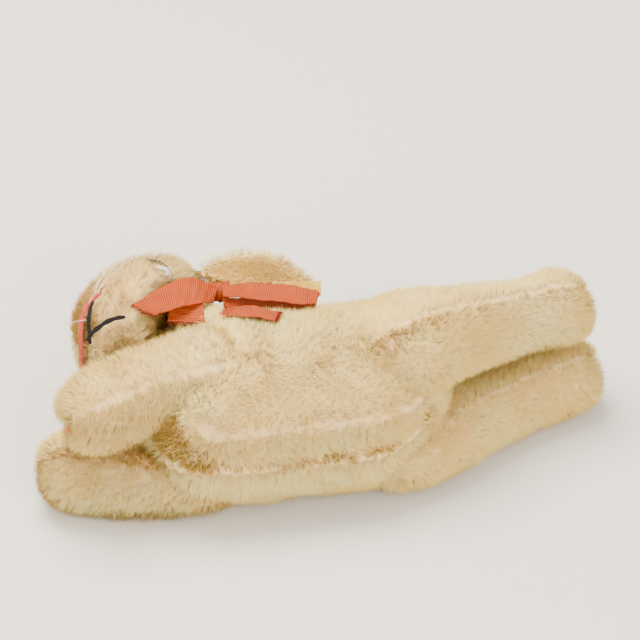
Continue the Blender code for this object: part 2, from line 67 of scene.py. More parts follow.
def lamp(name, place, size, power, colour):
    light = bpy.data.lights.new(name, "AREA")
    light.shape, light.size, light.energy, light.color = "DISK", size, power, colour
    item = bpy.data.objects.new(name, light)
    item.location = place
    item.rotation_euler = (SIGHT - Vector(place)).to_track_quat("-Z", "Y").to_euler()
    bpy.context.scene.collection.objects.link(item)


lamp("overhead", (-0.15, 0.15, 0.75), 0.5, 13.0, (1.0, 0.93, 0.80))
lamp("front", (0.35, -0.7, 0.45), 0.6, 8.2, (1.0, 0.93, 0.80))
lamp("side", (-0.75, -0.2, 0.35), 0.5, 3.0, (1.0, 0.94, 0.84))
world = bpy.data.worlds.new("studio")
world.use_nodes = True
world.node_tree.nodes["Background"].inputs["Color"].default_value = (1.0, 0.955, 0.88, 1)
world.node_tree.nodes["Background"].inputs["Strength"].default_value = 1.15
bpy.context.scene.world = world


# ---------------------------------------------------------------- materials
class Surface:
    """A procedural material on one Principled shader."""

    def __init__(self, name, colour, roughness, sheen=0.0):
        self.data = bpy.data.materials.new(name)
        self.data.use_nodes = True
        self.nodes, self.links = self.data.node_tree.nodes, self.data.node_tree.links
        self.shader = self.nodes["Principled BSDF"]
        self.shader.inputs["Base Color"].default_value = (*colour, 1)
        self.shader.inputs["Roughness"].default_value = roughness
        self.shader.inputs["Specular IOR Level"].default_value = 0.25
        self.shader.inputs["Sheen Weight"].default_value = sheen

    def node(self, kind, links=None, **values):
        made = self.nodes.new(kind)
        for key, value in values.items():
            if key in made.inputs:
                made.inputs[key].default_value = value
            else:
                setattr(made, key, value)
        for key, socket in (links or {}).items():
            self.links.new(socket, made.inputs[key])
        return made

    def turned(self, turn=(0, 0, 0), source="Object"):
        place = self.node("ShaderNodeTexCoord").outputs[source]
        return self.node("ShaderNodeMapping", {"Vector": place}, Rotation=turn).outputs["Vector"]

    def waves(self, place, period, distortion=0.6, direction="X"):
        return self.node("ShaderNodeTexWave", {"Vector": place}, Scale=math.pi / (10 * period),
                         Distortion=distortion, Detail=1.0, bands_direction=direction).outputs["Fac"]

    def cloud(self, place, size, detail=3.0):
        noise = self.node("ShaderNodeTexNoise", {"Vector": place}, Scale=1 / size, Detail=detail)
        return noise.outputs["Fac"]

    def maths(self, operation, a, b):
        made = self.node("ShaderNodeMath", operation=operation)
        for socket, value in zip(made.inputs, (a, b)):
            if isinstance(value, (int, float)):
                socket.default_value = value
            else:
                self.links.new(value, socket)
        return made.outputs[0]

    def ramp(self, factor, stops):
        made = self.node("ShaderNodeValToRGB", {"Fac": factor})
        while len(made.color_ramp.elements) < len(stops):
            made.color_ramp.elements.new(0.5)
        for element, (position, colour) in zip(made.color_ramp.elements, stops):
            element.position, element.color = position, (*colour, 1)
        return made.outputs["Color"]

    def colour(self, socket):
        self.links.new(socket, self.shader.inputs["Base Color"])

    def bump(self, height, distance, strength=0.6):
        made = self.node("ShaderNodeBump", {"Height": height}, Distance=distance, Strength=strength)
        self.links.new(made.outputs["Normal"], self.shader.inputs["Normal"])


def woven(name, dark, middle, light, period):
    """Backing cloth: two crossing sets of threads, with small holes between them."""
    made = Surface(name, middle, 0.9, 0.2)
    warp = made.waves(made.turned(), period, 0.8)
    weft = made.waves(made.turned((math.radians(45), 0, 0)), period, 0.8, "Z")
    weave = made.maths("MULTIPLY", warp, weft)
    patches = made.cloud(made.turned(), 4 * MM)
    mixed = made.maths("ADD", made.maths("MULTIPLY", weave, 0.55), made.maths("MULTIPLY", patches, 0.5))
    made.colour(made.ramp(mixed, ((0.18, dark), (0.36, middle), (0.75, light))))
    made.bump(weave, 0.25 * MM)
    return made.data


def hairs(name, colour, roughness=0.55):
    """One shade of pile. A coat mixes many shades, thread by thread and from root to tip."""
    return Surface(name, colour, roughness).data


BACKING = woven("mohair_backing", (0.74, 0.49, 0.18), (0.90, 0.67, 0.30), (0.96, 0.80, 0.45), 0.62 * MM)
CREAM = dict(
    roots=[hairs("pile_root_amber", (0.90, 0.63, 0.22)), hairs("pile_root_honey", (0.92, 0.66, 0.25))],
    tips=[hairs("pile_tip_straw", (0.95, 0.64, 0.17)), hairs("pile_tip_cream", (0.97, 0.70, 0.22)),
          hairs("pile_tip_butter", (0.97, 0.75, 0.25)), hairs("pile_tip_ivory", (0.97, 0.83, 0.33))])
TAN = dict(
    roots=[hairs("face_root_amber", (0.88, 0.63, 0.27)), hairs("face_root_sand", (0.89, 0.65, 0.29))],
    tips=[hairs("face_tip_tan", (0.88, 0.61, 0.21)), hairs("face_tip_straw", (0.90, 0.65, 0.23)),
          hairs("face_tip_cream", (0.91, 0.68, 0.25)), hairs("face_tip_ivory", (0.93, 0.74, 0.31))])
GOLD = dict(
    roots=[hairs("lining_root_ochre", (0.85, 0.46, 0.06)), hairs("lining_root_honey", (0.92, 0.54, 0.09))],
    tips=[hairs("lining_tip_gold", (0.95, 0.56, 0.09)), hairs("lining_tip_maize", (0.97, 0.62, 0.12)),
          hairs("lining_tip_straw", (0.97, 0.68, 0.19)), hairs("lining_tip_pale", (0.97, 0.74, 0.24))])


# ---------------------------------------------------------------- stuffed skins
def link(name, mesh, *materials):
    item = bpy.data.objects.new(name, mesh)
    bpy.context.scene.collection.objects.link(item)
    for surface in materials:
        mesh.materials.append(surface)
    return item


def solid_mesh(nodes):
    """The CAD solids of these nodes as one mesh, in world metres."""
    graph = bpy.context.evaluated_depsgraph_get()
    bm = bmesh.new()
    for node in nodes:
        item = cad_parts[node].evaluated_get(graph)
        mesh = item.to_mesh()
        before = len(bm.verts)
        bm.from_mesh(mesh)
        item.to_mesh_clear()
        bm.verts.ensure_lookup_table()
        bmesh.ops.transform(bm, matrix=item.matrix_world, verts=bm.verts[before:])
    mesh = bpy.data.meshes.new("solids")
    bm.to_mesh(mesh)
    bm.free()
    return mesh


def tree_of(nodes):
    mesh = solid_mesh(nodes)
    tree = BVHTree.FromPolygons([v.co[:] for v in mesh.vertices], [p.vertices[:] for p in mesh.polygons])
    bpy.data.meshes.remove(mesh)
    return tree


def applied(item):
    """The item's mesh with its modifiers applied, put in place of the old one."""
    graph = bpy.context.evaluated_depsgraph_get()
    made = bpy.data.meshes.new_from_object(item.evaluated_get(graph))
    item.modifiers.clear()
    item.data = made
    return item


def remeshed(name, nodes, voxel):
    """One closed smooth skin round the CAD solids of a stuffed form."""
    rows = {"torso_skin": BODY_ROWS, "neck_skin": NECK_ROWS}.get(name)
    item = link(name, body_form(rows) if rows else solid_mesh(nodes))
    remesh = item.modifiers.new("voxels", "REMESH")
    remesh.mode, remesh.voxel_size = "VOXEL", voxel * MM
    applied(item)
    bm = bmesh.new()
    bm.from_mesh(item.data)
    islands, seen = [], set()
    for vert in bm.verts:
        if vert.index in seen:
            continue
        seen.add(vert.index)
        heap, island = [vert], []
        while heap:
            one = heap.pop()
            island.append(one)
            for edge in one.link_edges:
                other = edge.other_vert(one)
                if other.index not in seen:
                    seen.add(other.index)
                    heap.append(other)
        islands.append(island)
    keep = set(max(islands, key=lambda verts: max(v.co.x for v in verts) - min(v.co.x for v in verts)))
    bmesh.ops.delete(bm, geom=[v for v in bm.verts if v not in keep], context="VERTS")
    for _ in range(6):
        bmesh.ops.smooth_vert(bm, verts=bm.verts, factor=0.5,
                              use_axis_x=True, use_axis_y=True, use_axis_z=True)
    bm.to_mesh(item.data)
    bm.free()
    item.data.shade_smooth()
    return item


def smooth_row(rows, position):
    """Rows of numbers read at a fractional index along a smooth curve through them."""
    index = min(int(position), len(rows) - 2)
    u = position - index
    p1, p2 = np.array(rows[index], float), np.array(rows[index + 1], float)
    p0 = np.array(rows[index - 1], float) if index else 2 * p1 - p2
    p3 = np.array(rows[index + 2], float) if index + 2 < len(rows) else 2 * p2 - p1
    return 0.5 * (2 * p1 + (p2 - p0) * u + (2 * p0 - 5 * p1 + 4 * p2 - p3) * u ** 2
                  + (3 * p1 - p0 - 3 * p2 + p3) * u ** 3)


# The whole belly and back of the sewn body: x, y, z of the middle, half depth, half width
BODY_ROWS = ((38, 23.5, 26, 8, 8), (35, 22.5, 26, 15, 16), (30, 20.8, 25.8, 21.5, 23),
             (22, 16, 25.4, 25, 26),
             (12, 13.5, 25.2, 26.5, 26.6), (-4, 10.5, 25.2, 26, 26.0), (-18, 8, 25.2, 26.5, 26.4),
             (-30, 5.5, 25.6, 26, 25), (-40, 3, 26, 23, 22), (-47, 2, 26, 17, 17), (-51, 2, 26, 9, 9))
NECK_ROWS = ((-14, 12, 26, 13, 18), (-20, 15, 26, 19, 23), (-26, 19, 26, 18.5, 21.5),
             (-33, 26.5, 26, 16, 18),
             (-38.5, 33, 26, 12.5, 14.5), (-41.5, 37, 26, 8, 10))


def body_form(rows):
    """A form without the pockets that the limbs turn in, so that the sewn cloth runs on under them."""
    steps, sides = 60, 72
    points, faces = [], []
    for i in range(steps + 1):
        x, y, z, deep, wide = smooth_row(rows, (len(rows) - 1) * i / steps)
        for j in range(sides):
            angle = 2 * math.pi * j / sides
            place = at(x, y + math.cos(angle) * deep, z + math.sin(angle) * wide)
            points.append((place.x, place.y, max(place.z, 0.3 * MM)))
    for i in range(steps):
        for j in range(sides):
            k = (j + 1) % sides
            faces.append((i * sides + j, i * sides + k, (i + 1) * sides + k, (i + 1) * sides + j))
    faces += [tuple(range(sides)), tuple(range(steps * sides, (steps + 1) * sides))]
    mesh = bpy.data.meshes.new("body_form")
    mesh.from_pydata(points, [], faces)
    return mesh


FORMS = {  # skin: the CAD nodes it stands for, the body, its panels, and the voxel in millimetres
    "torso_skin": (["torso_panel_left", "torso_panel_right", "belly_panel", "torso_stuffing"],
                   "torso", 3, 1.5),
    "head_skin": (["head_panel_left", "head_panel_right", "head_gusset", "head_stuffing"], "head", 3, 1.3),
    "tail_skin": (["tail_panel_left", "tail_panel_right", "tail_stuffing"], "tail", 2, 1.2),
}
FORMS["neck_skin"] = (["neck"], "torso", 1, 1.3)
for limb in ("arm_left", "arm_right", "leg_left", "leg_right"):
    FORMS[f"{limb}_skin"] = ([f"{limb}_back_panel", f"{limb}_belly_panel", f"{limb}_stuffing"], limb, 2, 1.3)

SWELL = 0.9 * MM  # how far the pressed filling may push the cloth between two seams
LEG_SWELL = 1.0 * MM
TIGHT = 0.15 * MM  # the same beside another body
SWELL_RUN = 11 * MM  # how far from a seam the cloth stands out in full
PRESSURE = 4.0
PRESSED_FRAMES = 20
SEAM = 0.7 * MM  # half the width that the stitches hold down
skins = {}
for name, (nodes, body, panels, voxel) in FORMS.items():
    skin = remeshed(name, nodes, voxel)
    skin["body"] = body
    skins[name] = skin

ALL_SOFT = [node for nodes, *_ in FORMS.values() for node in nodes]
THREADS = ["eye_patch_left", "eye_patch_right", "eye_left", "eye_right",
           "nose_embroidery", "mouth_embroidery"]
RIBBON = [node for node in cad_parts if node.startswith("ribbon")]
EARS = [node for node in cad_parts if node.startswith("ear_") and node != "ear_tag"]


def survey(name, places, normals):
    """For each place: distance to the nearest seam, the way off it, its panel, and the free room."""
    nodes, body, panels, _ = FORMS[name]
    trees = [tree_of([node]) for node in nodes[:panels]]
    others = tree_of([n for n in ALL_SOFT if n not in nodes] + THREADS + RIBBON + EARS
                     + (["neck"] if body != "torso" else []))
    count = len(places)
    seam, away = np.full(count, 99.0), np.zeros((count, 3))
    panel, room = np.zeros(count, int), np.full(count, 1.0)
    for i in range(count):
        place, normal = Vector(places[i]), Vector(normals[i])
        found = sorted(((tree.find_nearest(place)[3], k) for k, tree in enumerate(trees)))
        panel[i] = found[0][1]
        if panels > 1:
            near = trees[found[1][1]].find_nearest(place)
            seam[i] = max(near[3] - found[0][0], 0.0)
            away[i] = (place - near[0]).normalized()
        hit = others.ray_cast(place + normal * 0.2 * MM, normal, 25 * MM)
        if hit[0] is not None:
            room[i] = 0.0 if hit[1].dot(normal) > 0 else hit[3] + 0.2 * MM
        else:
            close = others.find_nearest(place, 6 * MM)
            if close[0] is not None and (close[0] - place).dot(normal) > 0:
                room[i] = max(close[3], 0.5 * MM) * 1.6
    return seam, away, panel, room


def mesh_arrays(mesh):
    count = len(mesh.vertices)
    places, normals = np.empty(count * 3), np.empty(count * 3)
    mesh.vertices.foreach_get("co", places)
    mesh.vertices.foreach_get("normal", normals)
    return places.reshape(-1, 3), normals.reshape(-1, 3)


def stuff(names):
    """Press the filling out against the cloth, held down along the seams, and keep the result."""
    starts, caps = {}, {}
    for name in names:
        skin = skins[name]
        places, normals = mesh_arrays(skin.data)
        seam, _, _, room = survey(name, places, normals)
        starts[name] = places
        swell = LEG_SWELL if name == "leg_left_skin" else SWELL
        cap = np.clip((seam - SEAM) / SWELL_RUN, 0, 1) ** 0.8 * swell
        caps[name] = np.where(room < 4 * MM, np.minimum(cap, TIGHT), cap)
        held = skin.vertex_groups.new(name="held")
        held.add([int(i) for i in np.nonzero(seam < SEAM)[0]], 1.0, "REPLACE")
        cloth = skin.modifiers.new("cloth", "CLOTH")
        cloth.settings.quality = 5
        cloth.settings.use_pressure = True
        cloth.settings.uniform_pressure_force = PRESSURE
        cloth.settings.effector_weights.gravity = 0.0
        cloth.settings.vertex_group_mass = "held"
        cloth.point_cache.frame_start, cloth.point_cache.frame_end = 1, PRESSED_FRAMES
    for number in range(1, PRESSED_FRAMES + 1):
        bpy.context.scene.frame_set(number)
    for name in names:
        skin = skins[name]
        places, _ = mesh_arrays(applied(skin).data)
        pushed = places - starts[name]
        size = np.linalg.norm(pushed, axis=1, keepdims=True)
        kept = pushed * np.minimum(1.0, caps[name][:, None] / np.maximum(size, 1e-9))
        moved = starts[name] + kept
        moved[:, 2] = np.maximum(moved[:, 2], 0.25 * MM)
        skin.data.vertices.foreach_set("co", moved.ravel())
        skin.vertex_groups.clear()
        skin.modifiers.new("finer", "SUBSURF").render_levels = 1
        skin.modifiers["finer"].levels = 1
        applied(skin)
        skin.data.shade_smooth()
    bpy.context.scene.frame_set(1)


stuff(list(skins))
for name, skin in skins.items():
    nodes, body, *_ = FORMS[name]
    skin.data.materials.clear()
    skin.data.materials.append(BACKING)
    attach(skin, body)
    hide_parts(*nodes)


# ---------------------------------------------------------------- pile
PIECE_TRIANGLES = 190000  # the most in one piece of a coat
STRAYS = 0.05  # share of threads that stand out of their tuft


def unit(rows):
    return rows / np.maximum(np.linalg.norm(rows, axis=1, keepdims=True), 1e-9)


def flat(rows, normals):
    return rows - normals * np.sum(rows * normals, axis=1, keepdims=True)


def drift(places, size, seed):
    """A slow random field of directions, the same each run."""
    shift = Vector((seed * 3.7, seed * 1.3, seed * 2.1))
    return np.array([noise.noise_vector(Vector(p) / size + shift)[:] for p in places])


def blades(name, roots, normals, tips, bends, widths, shades, surfaces, lift):
    """Tapered threads as one mesh: a quad from root to bend and a triangle from bend to tip."""
    count = len(roots)
    runs = unit(tips - roots)
    sides = unit(np.cross(normals, runs) + 1e-6)
    points = np.empty((count, 5, 3))
    points[:, 0], points[:, 1] = roots - sides * widths, roots + sides * widths
    points[:, 2], points[:, 3] = bends - sides * widths * 0.8, bends + sides * widths * 0.8
    points[:, 4] = tips
    points[:, :, 2] = np.maximum(points[:, :, 2], lift[:, None])
    facing = np.repeat(normals[:, None, :], 5, axis=1)
    facing[:, 2:4] += runs[:, None] * 0.15
    facing[:, 4] += runs * 0.3
    mesh = bpy.data.meshes.new(name)
    mesh.vertices.add(count * 5)
    mesh.vertices.foreach_set("co", points.ravel())
    base = np.arange(count)[:, None] * 5
    order = (base + np.array((1, 0, 2, 3, 3, 2, 4))).ravel()
    mesh.loops.add(len(order))
    mesh.loops.foreach_set("vertex_index", order)
    mesh.polygons.add(count * 2)
    mesh.polygons.foreach_set("loop_start", (np.arange(count)[:, None] * 7 + np.array((0, 4))).ravel())
    mesh.polygons.foreach_set("material_index", shades.ravel())
    mesh.update(calc_edges=True)
    mesh.shade_smooth()
    mesh.normals_split_custom_set_from_vertices(unit(facing.reshape(-1, 3)).tolist())
    return link(name, mesh, *surfaces["roots"], *surfaces["tips"])


def grow(label, mesh, body, facts, style, seed):
    """Cover a skin with pile. facts hold seam, away, panel and room for each vertex."""
    rng = np.random.default_rng(seed)
    places, normals = mesh_arrays(mesh)
    seam, away, panel, room = facts
    mesh.calc_loop_triangles()
    tris = np.empty(len(mesh.loop_triangles) * 3, int)
    mesh.loop_triangles.foreach_get("vertices", tris)
    tris = tris.reshape(-1, 3)
    a, b, c = (places[tris[:, k]] for k in range(3))
    areas = np.linalg.norm(np.cross(b - a, c - a), axis=1) / 2
    total = int(areas.sum() / MM ** 2 * style["tufts"])
    chosen = rng.choice(len(tris), total, p=areas / areas.sum())
    u, v = rng.random(total), rng.random(total)
    over = u + v > 1
    u[over], v[over] = 1 - u[over], 1 - v[over]
    weights = np.stack((1 - u - v, u, v), axis=1)
    corners = tris[chosen]

    def read(values):
        share = weights if values.ndim == 1 else weights[:, :, None]
        return (values[corners] * share).sum(axis=1)

    spot, normal, near, off, free = read(places), unit(read(normals)), read(seam), read(away), read(room)
    owner = panel[corners[:, 0]]
    wander = drift(spot, 9 * MM, seed)
    patchy = drift(spot, 6 * MM, seed + 5)
    bare = style["bare"] * MM * np.clip(0.6 + 1.6 * patchy[:, 0], 0.0, 1.6)
    bare = np.where(normal[:, 2] < -0.1, 0.0, bare)
    kept = rng.random(total) < np.clip((near - bare) / (0.7 * MM), style["least"], 1)
    kept &= free > 0.3 * MM
    kept &= ~((normal[:, 2] < -0.5) & (spot[:, 2] < 2.0 * MM) & (rng.random(total) < 0.5))
    spot, normal, near, off, free, owner, wander, patchy = (
        rows[kept] for rows in (spot, normal, near, off, free, owner, wander, patchy))

    nap = style["nap"](spot)
    broad = drift(spot, 28 * MM, seed + 9)[:, 0]
    hold = np.exp(-near / (6 * MM))[:, None]
    lean = unit(flat(unit(flat(off, normal)) * hold * 0.9 + nap + wander * 0.28, normal))
    tufts, each = len(spot), style["each"]
    angle = np.clip(style["lean"] + 0.12 * patchy[:, 1] + rng.normal(0, 0.10, tufts), 0.15, 1.35)
    reach = style["length"](spot) * MM * (1 + 0.25 * wander[:, 1]) * np.clip(0.75 + near / (6 * MM), 0.75, 1)
    reach = np.minimum(reach, np.maximum(free * 0.85, 0.5 * MM))
    angle = np.where(free < 3 * MM, np.maximum(angle, 1.0), angle)

    def each_thread(rows):
        return np.repeat(rows, each, axis=0)

    n, t, along, tilt = each_thread(normal), each_thread(lean), each_thread(reach), each_thread(angle)
    count = tufts * each
    turn = rng.random(count) * 2 * math.pi
    spread = np.sqrt(rng.random(count)) * style["spread"] * MM
    other = np.cross(n, t)
    scatter = t * (np.cos(turn) * spread)[:, None] + other * (np.sin(turn) * spread)[:, None]
    roots = each_thread(spot) + scatter - n * 0.3 * MM
    stray = rng.random(count) < STRAYS
    tilt = np.where(stray, tilt + rng.normal(0, 0.6, count), tilt + rng.normal(0, 0.07, count))
    along = along * rng.uniform(0.72, 1.12, count) * np.where(stray, 1.1, 1.0)
    low = (n * np.cos(tilt * 0.7)[:, None] + t * np.sin(tilt * 0.7)[:, None]) * (along * 0.5)[:, None]
    high = (n * np.cos(tilt * 1.25)[:, None] + t * np.sin(tilt * 1.25)[:, None]) * (along * 0.5)[:, None]
    pull = -scatter * (0.05 + 0.35 * np.repeat(rng.random(tufts), each))[:, None]
    jitter = rng.normal(0, 0.16 * MM, (count, 3)) * np.where(stray, 3.0, 1.0)[:, None]
    bends = roots + low + pull * 0.35 + jitter * 0.4
    tips = bends + high + pull * 0.65 + jitter
    widths = rng.uniform(0.75, 1.2, (count, 1)) * style["width"] * MM / 2
    tone = 0.5 + 0.5 * each_thread(patchy[:, 2]) + 0.7 * each_thread(broad)
    tone = np.clip(tone + each_thread(style["tone"](spot)) + rng.normal(0, 0.22, count), 0, 0.999)
    shades = np.stack(((tone * 2).astype(int), 2 + (tone * 4).astype(int)), axis=1)
    lift = (0.05 + 0.5 * rng.random(count)) * MM
    owners = each_thread(owner)
    for number in sorted(set(owners.tolist())):
        mine = np.nonzero(owners == number)[0]
        parts = math.ceil(len(mine) * 3 / PIECE_TRIANGLES)
        for part, rows in enumerate(np.array_split(mine, parts)):
            piece = f"{label}_{style['names'][number]}" + (f"_{part + 1}" if parts > 1 else "")
            coat = blades(piece, roots[rows], n[rows], tips[rows], bends[rows], widths[rows], shades[rows],
                          style["surfaces"], lift[rows])
            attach(coat, body)


def steady(*direction):
    return lambda spots: np.tile(np.array(direction, float), (len(spots), 1))


def even(value):
    return lambda spots: np.full(len(spots), value)


COAT = dict(tufts=2.1, each=9, bare=0.2, least=0.12, lean=0.27, length=even(3.8), spread=0.66, width=0.11,
            nap=steady(0.3, 0.1, -0.35), tone=even(0.05), surfaces=CREAM, slot="mohair",
            names=("left", "right", "belly"))


def head_length(spots):
    """Short on the muzzle, longer over the cheeks and towards the neck."""
    muzzle = at(-78, 42, HEAD_MIDDLE).x
    return 3.2 + 1.8 * np.clip((spots[:, 0] - muzzle) / (30 * MM), 0, 1)


STYLES = {
    "torso_skin": COAT,
    "head_skin": dict(COAT, tufts=1.9, length=head_length, lean=0.45, bare=0.0, width=0.13,
                      nap=steady(0.6, 0.2, 0.0),
                      surfaces=TAN, names=("left", "right", "gusset")),
    "tail_skin": dict(COAT, names=("left", "right"), nap=steady(0.5, 0.9, 0.0)),
    "arm_left_skin": dict(COAT, names=("back", "belly"), nap=steady(-0.5, -0.2, -0.3), bare=0.45),
    # The lower arm and lower leg lie under the upper limbs. Their lower tone picks darker pile shades:
    # painted shade where the upper limbs shadow them.
    "arm_right_skin": dict(COAT, names=("back", "belly"), nap=steady(-0.6, -0.2, -0.3), tone=even(-0.08)),
    "leg_left_skin": dict(COAT, names=("back", "belly"), nap=steady(0.5, 0.2, -0.3), bare=0.45),
    "leg_right_skin": dict(COAT, names=("back", "belly"), nap=steady(0.5, 0.2, -0.3), tone=even(-0.05)),
}
STYLES["neck_skin"] = dict(COAT, names=("ruff",), length=even(3.2))
for seed, (name, skin) in enumerate(skins.items(), start=1):
    surveyed = survey(name, *mesh_arrays(skin.data))
    grow(name.replace("_skin", "_pile"), skin.data, FORMS[name][1], surveyed, STYLES[name], seed)


# ---------------------------------------------------------------- ears
EAR_ROOT = (-37, 51.5, 43.6)
EAR_LENGTH = 33
EAR_WIDTHS = (6.0, 10.4, 12.6, 11.6, 3.6)
EAR_TILT = (-0.77, 0.64)  # the lining's way out: towards the belly, and up on the left ear


def ear_leaf(name, side, share, lift, thickness, surface):
    """One cupped layer of an ear, a closed leaf with a soft rim."""
    sign = 1 if side == "left" else -1
    out = Vector((0, EAR_TILT[0], EAR_TILT[1] * sign))
    across = Vector((0, EAR_TILT[1], -EAR_TILT[0] * sign))
    root = Vector((EAR_ROOT[0], EAR_ROOT[1], EAR_ROOT[2] if sign > 0 else 2 * HEAD_MIDDLE - EAR_ROOT[2]))
    rows, columns = 34, 16
    margin = (1 - share) * 0.5
    points = []
    for i in range(rows + 1):
        t = margin * 0.6 + (1 - margin * 1.2) * i / rows
        width = smooth_row([(w,) for w in EAR_WIDTHS], t * (len(EAR_WIDTHS) - 1))[0] * share
        end = math.sin(math.pi * min(max((i + 0.6) / (rows + 1.2), 0), 1)) ** 0.35
        for j in range(columns + 1):
            s = (2 * j / columns - 1) * end
            cup = 1.8 * s * s * math.sin(math.pi * (0.15 + 0.75 * t))
            place = root + Vector((EAR_LENGTH * t, -5.5 * t * t, 0)) + across * s * width / 2
            points.append(at(*(place + out * (cup * share ** 2 + lift))))
    wide = columns + 1
    faces = [(i * wide + j, i * wide + j + 1, (i + 1) * wide + j + 1, (i + 1) * wide + j)
             for i in range(rows) for j in range(columns)]
    mesh = bpy.data.meshes.new(name)
    mesh.from_pydata(points, [], faces)
    item = link(name, mesh, surface)
    solid = item.modifiers.new("thickness", "SOLIDIFY")
    solid.thickness, solid.offset, solid.use_even_offset = thickness * MM, 0.0, True
    item.modifiers.new("soft", "SUBSURF").levels = 1
    applied(item).data.shade_smooth()
    item.data.materials.clear()
    item.data.materials.append(surface)
    return item, out


def plain_facts(mesh, out, cover=None):
    """Facts for a coat with no seams, left off where the cover lies over it in the direction out."""
    places, normals = mesh_arrays(mesh)
    count = len(normals)
    facing = normals @ np.array(out)
    room = np.where(facing > 0.25, 0.0, 1.0)
    if cover:
        tree = BVHTree.FromPolygons([v.co[:] for v in cover.vertices],
                                    [p.vertices[:] for p in cover.polygons])
        open_air = [tree.ray_cast(Vector(p), Vector(out), 4 * MM)[0] is None for p in places]
        room = np.where(np.array(open_air), 1.0, room)
    return np.full(count, 99.0), np.zeros((count, 3)), np.zeros(count, int), room


LINING = woven("ear_lining_cloth", (0.55, 0.30, 0.08), (0.80, 0.50, 0.17), (0.92, 0.68, 0.32), 0.6 * MM)
for seed, side in enumerate(("left", "right"), start=20):
    back, out = ear_leaf(f"ear_{side}_shell", side, 1.0, 0.0, 1.8, BACKING)
    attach(back, f"ear_{side}")
    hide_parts(f"ear_{side}_back")
    lining, _ = ear_leaf(f"ear_{side}_inside", side, 0.78, 1.75, 0.7, LINING)
    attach(lining, f"ear_{side}")
    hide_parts(f"ear_{side}_lining")
    away = Vector(out) * -1
    grow(f"ear_{side}_pile", back.data, f"ear_{side}", plain_facts(back.data, out, lining.data),
         dict(COAT, tufts=2.4, length=even(3.4), lean=0.4, nap=steady(0.9, 0.3 * away.y, 0.3 * away.z),
              names=("back",), tone=even(0.1)), seed)
    grow(f"ear_{side}_lining_pile", lining.data, f"ear_{side}", plain_facts(lining.data, away),
         dict(COAT, tufts=4.0, each=7, length=even(2.1), lean=0.4, spread=0.4, width=0.11, surfaces=GOLD,
              slot="ear_lining", nap=steady(0.9, 0, 0), names=("face",), tone=even(0.0)), seed + 10)


# ---------------------------------------------------------------- thread work on the face
def laid(name, colour, light, roughness=0.55):
    """Embroidery thread: fine twisted plies along each thread."""
    made = Surface(name, colour, roughness)
    plies = made.waves(made.turned((0.5, 0.7, 0.3)), 0.22 * MM, 1.2)
    made.colour(made.ramp(made.maths("MULTIPLY", plies, made.cloud(made.turned(), 1.5 * MM)),
                          ((0.0, tuple(c * 0.55 for c in colour)), (0.35, colour), (0.8, light))))
    made.bump(plies, 0.1 * MM)
    return made.data


PINK = laid("nose_thread", (0.60, 0.085, 0.04), (0.78, 0.18, 0.10), 0.55)
BLACK = laid("mouth_thread", (0.006, 0.005, 0.005), (0.022, 0.018, 0.018), 0.6)
DARK_BLUE = laid("lash_thread", (0.015, 0.018, 0.03), (0.06, 0.065, 0.09), 0.5)
FELT = Surface("eye_felt", (0.66, 0.60, 0.46), 0.95)
FELT.colour(FELT.ramp(FELT.cloud(FELT.turned(), 0.5 * MM),
                      ((0.3, (0.54, 0.48, 0.35)), (0.7, (0.74, 0.69, 0.56)))))
FELT.bump(FELT.cloud(FELT.turned(), 0.25 * MM), 0.2 * MM)

head_cloth = skins["head_skin"].data
head_arrays = [v.co[:] for v in head_cloth.vertices], [p.vertices[:] for p in head_cloth.polygons]
HEAD_TREE = BVHTree.FromPolygons(*head_arrays)


def on_head(x, angle, lift):
    """A place lift above the head's cloth, at this x and this angle round it from the top of the head."""
    turn = math.radians(angle)
    axis = smooth_row(((46, 25), (46.5, 25), (46, 25), (43.5, 25), (42, 25)),
                      min(max((-36 - x) / 10, 0), 3.99))
    way = Vector((0, math.cos(turn), math.sin(turn)))
    hit = HEAD_TREE.ray_cast(at(x, axis[0], axis[1]), way)
    if hit[0] is None:
        hit = HEAD_TREE.find_nearest(at(x, axis[0], axis[1]) + way * 5 * MM)
    return hit[0] + hit[1] * lift * MM, hit[1]


def tubes(name, paths, radii, surface, sides=8):
    """Round tapered threads, one for each path of world places, as one mesh."""
    points, faces = [], []
    for path, radius in zip(paths, radii):
        start, count = len(points), len(path)
        for i, place in enumerate(path):
            run = (path[min(i + 1, count - 1)] - path[max(i - 1, 0)]).normalized()
            side = run.orthogonal().normalized() if i == 0 else (side - run * side.dot(run)).normalized()
            other = run.cross(side)
            size = radius(i / (count - 1)) if callable(radius) else radius
            for j in range(sides):
                turn = 2 * math.pi * j / sides
                points.append(place + (side * math.cos(turn) + other * math.sin(turn)) * size * MM)
        for i in range(count - 1):
            for j in range(sides):
                a, b = start + i * sides + j, start + i * sides + (j + 1) % sides
                faces.append((a, b, b + sides, a + sides))
        faces += [tuple(range(start + sides - 1, start - 1, -1)),
                  tuple(range(start + (count - 1) * sides, start + count * sides))]
    mesh = bpy.data.meshes.new(name)
    mesh.from_pydata(points, [], faces)
    mesh.shade_smooth()
    return link(name, mesh, surface)


def curve_through(keys, steps):
    total = (len(keys) - 1) * steps
    return [Vector(smooth_row([tuple(k) for k in keys], i / steps)) for i in range(total + 1)]


